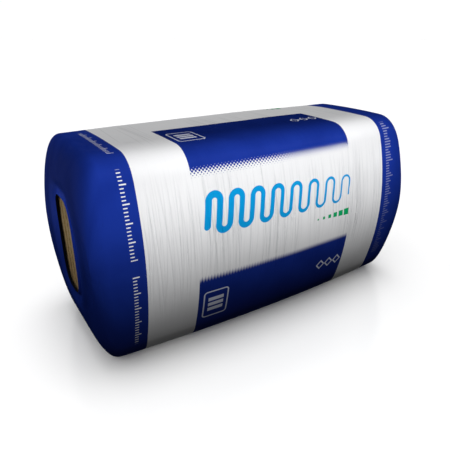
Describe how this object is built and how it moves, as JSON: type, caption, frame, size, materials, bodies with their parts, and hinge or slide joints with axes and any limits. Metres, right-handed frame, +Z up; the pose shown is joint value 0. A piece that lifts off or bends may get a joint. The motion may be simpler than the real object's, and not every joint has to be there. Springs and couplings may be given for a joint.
{
  "type": "glass wool board pack",
  "caption": "Pack of glass wool insulation boards standing on edge, shrink-wrapped in one blue and white printed film sleeve with a rounded opening at each end.",
  "frame": {"origin": "middle of the base, on the floor", "axes": "+X along the length, towards the far end in the picture; +Y from the front face in the picture to the back, the way the boards are stacked; +Z up"},
  "size_m": [1.1994, 0.5672, 0.6245],
  "materials": {
    "film": "semi-gloss printed polyethylene shrink film, blue and white",
    "wool": "matt, fibrous brown glass wool"
  },
  "bodies": {
    "root": {"film_wrap": "film", "board_01": "wool", "board_02": "wool", "board_03": "wool", "board_04": "wool", "board_05": "wool", "board_06": "wool", "board_07": "wool", "board_08": "wool", "board_09": "wool", "board_10": "wool", "board_11": "wool", "board_12": "wool"}
  },
  "joints": []
}
